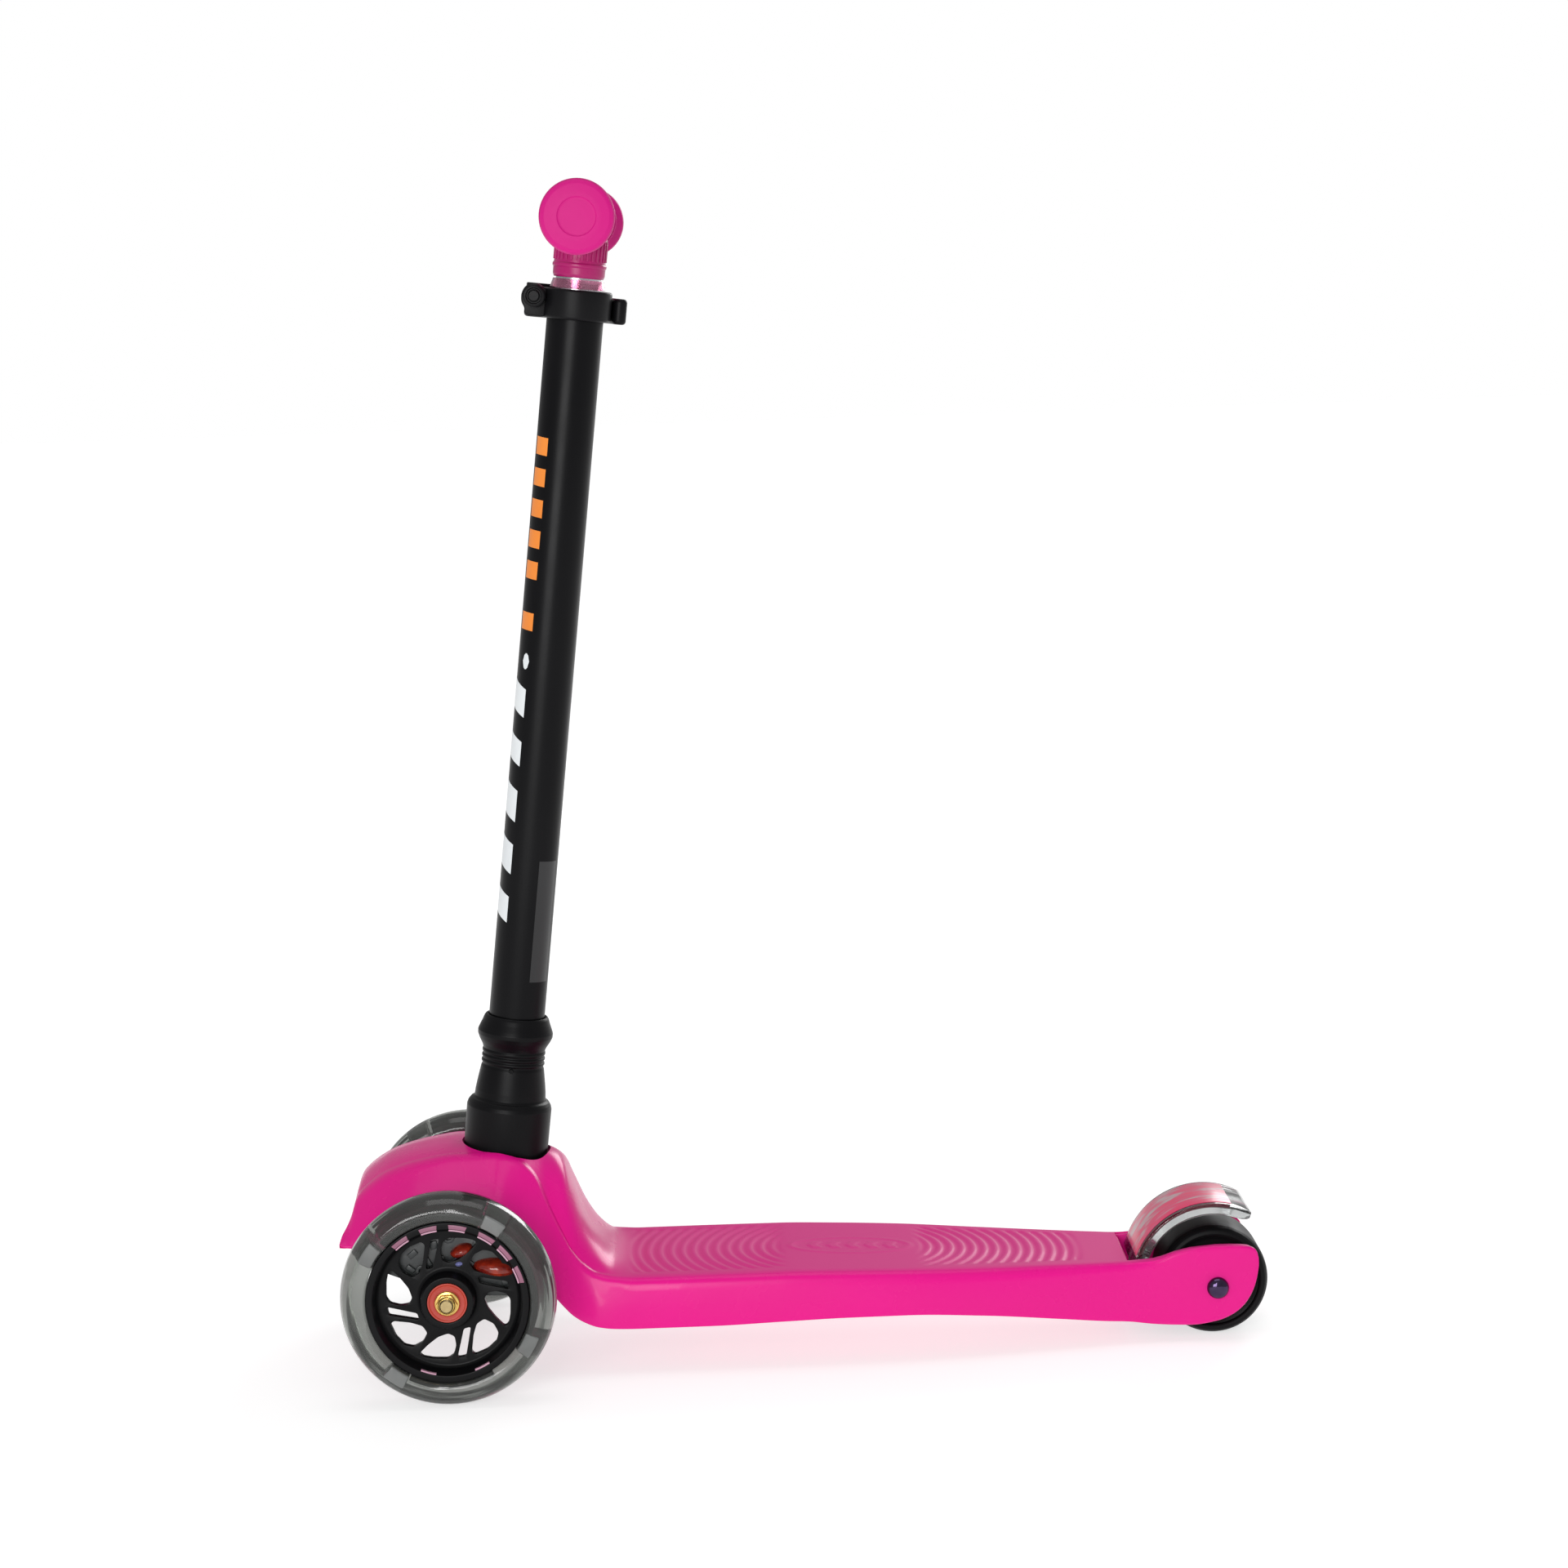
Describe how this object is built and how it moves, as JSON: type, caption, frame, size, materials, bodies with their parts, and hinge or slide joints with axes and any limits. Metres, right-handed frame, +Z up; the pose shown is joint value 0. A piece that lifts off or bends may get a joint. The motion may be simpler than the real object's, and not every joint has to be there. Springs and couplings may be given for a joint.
{
  "type": "kick scooter",
  "caption": "Child's lean-to-steer kick scooter with clear front wheels, a moulded pink deck, a telescoping T-bar, a quick-release clamp and a foot brake over the rear wheel.",
  "frame": {"origin": "on the ground under the middle of the bounding box", "axes": "+X forward, +Y to the rider's left, +Z up"},
  "size_m": [0.5288, 0.251, 0.6687],
  "materials": {
    "deck_pink": "glossy",
    "grip_pink": "satin",
    "clear_pink": "glossy, see-through",
    "black_plastic": "fine satin",
    "black_paint": "semi-gloss",
    "clear_tyre": "clear, slightly smoky",
    "clear_fender": "clear",
    "black_tyre": "satin",
    "steel": "satin",
    "silver_tube": "polished",
    "dark_chrome": "bright",
    "gold_nut": "satin",
    "bearing_seal": "satin",
    "rubber_red": "matt",
    "bush_nylon": "matt"
  },
  "bodies": {
    "deck": {"deck_body": "deck_pink", "chassis_pan": "black_plastic", "lean_axle": "steel", "lean_axle_nut": "steel", "centering_puck_left": "rubber_red", "centering_puck_right": "rubber_red", "kingpin_left": "steel", "kingpin_right": "steel", "pan_screw_front_left": "steel", "pan_screw_front_right": "steel", "pan_screw_rear_left": "steel", "pan_screw_rear_right": "steel", "rear_axle_bolt": "dark_chrome", "rear_axle_nut": "dark_chrome", "rear_spacer_left": "steel", "rear_spacer_right": "steel", "fender_pin": "steel", "fender_spring": "steel"},
    "column": {"steering_column": "black_plastic", "collar_screw": "steel", "lean_bush_front": "bush_nylon", "lean_bush_rear": "bush_nylon", "outer_tube": "black_paint", "guide_sleeve": "black_plastic", "clamp_collar": "black_plastic", "clamp_bolt": "steel", "clamp_nut": "black_plastic", "cam_pin": "steel"},
    "handlebar": {"inner_tube": "silver_tube", "t_joint": "deck_pink", "t_joint_skirt": "clear_pink", "crossbar": "steel", "grip_left": "grip_pink", "grip_right": "grip_pink"},
    "quick_release": {"clamp_lever": "black_plastic"},
    "cross_link": {"tie_rod": "steel"},
    "knuckle_arm_left": {"knuckle_left": "black_plastic", "wheel_bolt_left": "steel", "wheel_nut_left": "gold_nut"},
    "knuckle_arm_right": {"knuckle_right": "black_plastic", "wheel_bolt_right": "steel", "wheel_nut_right": "gold_nut"},
    "front_wheel_left": {"front_hub_left": "black_plastic", "front_tyre_left": "clear_tyre", "front_bearing_outer_left": "bearing_seal", "front_bearing_inner_left": "steel", "light_magnet_left": "dark_chrome"},
    "front_wheel_right": {"front_hub_right": "black_plastic", "front_tyre_right": "clear_tyre", "front_bearing_outer_right": "bearing_seal", "front_bearing_inner_right": "steel", "light_magnet_right": "dark_chrome"},
    "rear_wheel": {"rear_hub": "black_plastic", "rear_tyre": "black_tyre", "rear_bearing_left": "steel", "rear_bearing_right": "steel"},
    "fender": {"brake_fender": "clear_fender", "fender_inlay": "clear_pink"}
  },
  "joints": [
    {"name": "column_lean", "type": "hinge", "parent": "deck", "child": "column", "pos_m": [0.1824, 0, 0.098], "axis": [1, 0, 0], "range_deg": [-10, 10], "stiffness_Nm_per_rad": 20},
    {"name": "knuckle_yaw_left", "type": "hinge", "parent": "deck", "child": "knuckle_arm_left", "pos_m": [0.2024, 0.062, 0.06], "axis": [0, 0, 1], "range_deg": [-7.2, 7.2]},
    {"name": "knuckle_yaw_right", "type": "hinge", "parent": "deck", "child": "knuckle_arm_right", "pos_m": [0.2024, -0.062, 0.06], "axis": [0, 0, 1], "range_deg": [-7.2, 7.2]},
    {"name": "cross_link_slide", "type": "slide", "parent": "deck", "child": "cross_link", "axis": [0, 1, 0], "range_m": [-0.0048, 0.0048]},
    {"name": "front_wheel_spin_left", "type": "hinge", "parent": "knuckle_arm_left", "child": "front_wheel_left", "pos_m": [0.2024, 0.105, 0.06], "axis": [0, 1, 0], "continuous": true},
    {"name": "front_wheel_spin_right", "type": "hinge", "parent": "knuckle_arm_right", "child": "front_wheel_right", "pos_m": [0.2024, -0.105, 0.06], "axis": [0, 1, 0], "continuous": true},
    {"name": "rear_wheel_spin", "type": "hinge", "parent": "deck", "child": "rear_wheel", "pos_m": [-0.2326, 0, 0.0318], "axis": [0, 1, 0], "continuous": true},
    {"name": "brake_press", "type": "hinge", "parent": "deck", "child": "fender", "pos_m": [-0.1901, 0, 0.0425], "axis": [0, -1, 0], "range_deg": [0, 12.5], "stiffness_Nm_per_rad": 1, "springref_deg": -8.59},
    {"name": "handlebar_height", "type": "slide", "parent": "column", "child": "handlebar", "axis": [-0.121, 0, 0.9927], "range_m": [0, 0.2]},
    {"name": "clamp_lever_swing", "type": "hinge", "parent": "column", "child": "quick_release", "pos_m": [0.13786, -0.0166, 0.60718], "axis": [-0.121, 0, 0.9927], "range_deg": [0, 120]}
  ],
  "couplings": [
    {"joint": "knuckle_yaw_left", "follows": "column_lean", "ratio": -0.71},
    {"joint": "knuckle_yaw_right", "follows": "column_lean", "ratio": -0.71},
    {"joint": "cross_link_slide", "follows": "column_lean", "m_per_rad": 0.027}
  ]
}
